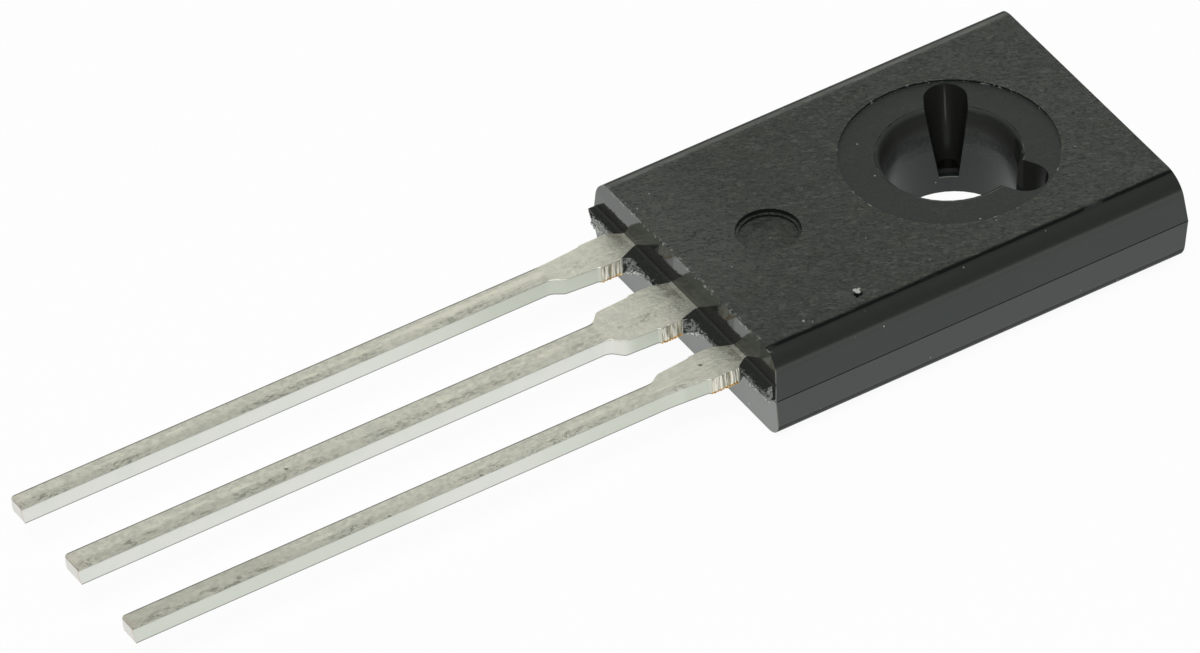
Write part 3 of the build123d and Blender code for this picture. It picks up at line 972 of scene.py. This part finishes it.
def make_torn_rims(material):
    """Broken rims low on the fronts of the webs, which also follow the tongues beside two of the leads."""
    z = PARTING - 0.005
    # Each rim's name, its tongue's flank if it has one, start and end in x, reach and thickness
    rims = [
        ("emitter_side", None, -3.69, -2.66, 0.115, 0.085),
        ("emitter_gap", INNER_DAM - LEAD_PITCH, -1.42, -0.66, 0.105, 0.06),
        ("base_gap", CENTRE_DAM, 1.09, 1.94, 0.105, 0.06),
        ("base_side", None, 2.66, 3.72, 0.105, 0.06),
    ]
    for seed, (name, tongue_flank, start, end, reach, thick) in enumerate(rims, RIM_SEED):
        y = BODY_END - reach
        path = straight_run((start, y, z), (end, y, z), 0.035)
        if tongue_flank is not None:
            path = tongue_run(tongue_flank, z) + path
        torn_edge("torn_rim_" + name, path, seed, material, thick=thick)


def make_web_lips(material):
    """Torn lips along the top front edges of the webs."""
    z = LEAD_TOP - 0.055
    # Each lip's name, start and end in x, and reach
    lips = [
        ("emitter_side", -3.66, -2.72, 0.165),
        ("emitter_gap", -1.50, -0.62, 0.250),
        ("base_gap", 0.98, 1.86, 0.250),
        ("base_side", 2.72, 3.66, 0.230),
    ]
    for seed, (name, start, end, reach) in enumerate(lips, LIP_SEED):
        y = BODY_END - reach
        path = straight_run((start, y, z), (end, y, z), 0.045)
        torn_edge("web_lip_" + name, path, seed, material, thick=0.07)


def make_burrs(material):
    """Ragged copper along the lower edges of the cut dam-bar stubs."""
    z = PARTING - 0.008
    # Each stub's name, its flank in x, and its end near the body
    stubs = [
        ("emitter_outer", -LEAD_PITCH - OUTER_DAM, OUTER_DAM_NEAR),
        ("emitter_inner", -LEAD_PITCH + INNER_DAM, DAM_NEAR),
        ("collector_left", -CENTRE_DAM, DAM_NEAR),
        ("collector_right", CENTRE_DAM, DAM_NEAR),
        ("base_inner", LEAD_PITCH - INNER_DAM, DAM_NEAR),
        ("base_outer", LEAD_PITCH + OUTER_DAM, OUTER_DAM_NEAR),
    ]
    for seed, (name, x, stub_end) in enumerate(stubs, BURR_SEED):
        path = straight_run((x, DAM_FAR, z), (x, stub_end - 0.03, z), 0.03)
        torn_edge("burr_" + name, path, seed, material, thick=0.026, sides=6)


def dress(name, material):
    """Gives a CAD node its material."""
    mesh = nodes[name].data
    mesh.materials.clear()
    mesh.materials.append(material)


def make_floor():
    """Square white floor under the part."""
    half = FLOOR_HALF
    mesh = bpy.data.meshes.new("floor")
    corners = [(-half, -half, 0), (half, -half, 0), (half, half, 0), (-half, half, 0)]
    mesh.from_pydata(corners, [], [(0, 1, 2, 3)])
    mesh.materials.append(floor_finish())
    floor = bpy.data.objects.new("floor", mesh)
    bpy.context.scene.collection.objects.link(floor)


def make_light(name, place, target, width, height, radiance):
    """A soft box of a given radiance, facing target."""
    lamp = bpy.data.lights.new(name, "AREA")
    lamp.shape = "RECTANGLE"
    lamp.size = width
    lamp.size_y = height
    lamp.energy = radiance * math.pi * width * height
    light = bpy.data.objects.new(name, lamp)
    light.location = place
    light.rotation_mode = "QUATERNION"
    light.rotation_quaternion = (Vector(target) - Vector(place)).to_track_quat("-Z", "Y")
    bpy.context.scene.collection.objects.link(light)


def make_world():
    """Even grey light from all round."""
    world = bpy.data.worlds.new("studio")
    world.use_nodes = True
    background = world.node_tree.nodes["Background"]
    background.inputs["Color"].default_value = rgb(WORLD_GREY, WORLD_GREY, WORLD_GREY)
    background.inputs["Strength"].default_value = 1.0
    bpy.context.scene.world = world


def make_camera():
    """The photograph's camera: it looks at the target from an azimuth and elevation, rolled a little."""
    azimuth = math.radians(VIEW_AZIMUTH)
    elevation = math.radians(VIEW_ELEVATION)
    roll = math.radians(VIEW_ROLL)
    level = math.cos(elevation)
    back = Vector((math.sin(azimuth) * level, -math.cos(azimuth) * level, math.sin(elevation)))
    right = UP.cross(back).normalized()
    up = back.cross(right)
    across = math.cos(roll) * right + math.sin(roll) * up
    upward = -math.sin(roll) * right + math.cos(roll) * up
    spot = VIEW_TARGET + back * VIEW_DISTANCE
    data = bpy.data.cameras.new("camera")
    data.sensor_width = SENSOR_WIDTH
    data.lens = FOCAL_PIXELS / IMAGE_WIDTH * SENSOR_WIDTH
    data.clip_start = 0.01
    data.clip_end = 10.0
    camera = bpy.data.objects.new("camera", data)
    camera.matrix_world = Matrix(
        (
            (across.x, upward.x, back.x, spot.x),
            (across.y, upward.y, back.y, spot.y),
            (across.z, upward.z, back.z, spot.z),
            (0, 0, 0, 1),
        )
    )
    bpy.context.scene.collection.objects.link(camera)
    bpy.context.scene.camera = camera


epoxy_material = epoxy_finish()
tin_material = tin_finish()
wire_material = wire_finish()
materials = {
    "moulded_body": epoxy_material,
    "emitter_lead": tin_material,
    "collector_lead": tin_material,
    "base_lead": tin_material,
    "silicon_die": silicon_finish(),
    "die_attach_solder": solder_finish(),
    "emitter_bond_wire": wire_material,
    "base_bond_wire": wire_material,
}
for node_name, node_material in materials.items():
    dress(node_name, node_material)

make_torn_rims(fracture_finish())
make_web_lips(epoxy_material)
make_burrs(copper_finish())

make_floor()
make_world()
make_light(
    "key_box",
    place=(0.18, -0.115, 0.45),
    target=(0, -0.008, 0),
    width=0.28,
    height=0.28,
    radiance=6.0,
)
make_light(
    "side_wall",
    place=(-0.50, 0.27, 0.38),
    target=(0, -0.008, 0.02),
    width=1.00,
    height=0.80,
    radiance=0.58,
)
make_camera()
bpy.context.scene.view_settings.view_transform = "Standard"
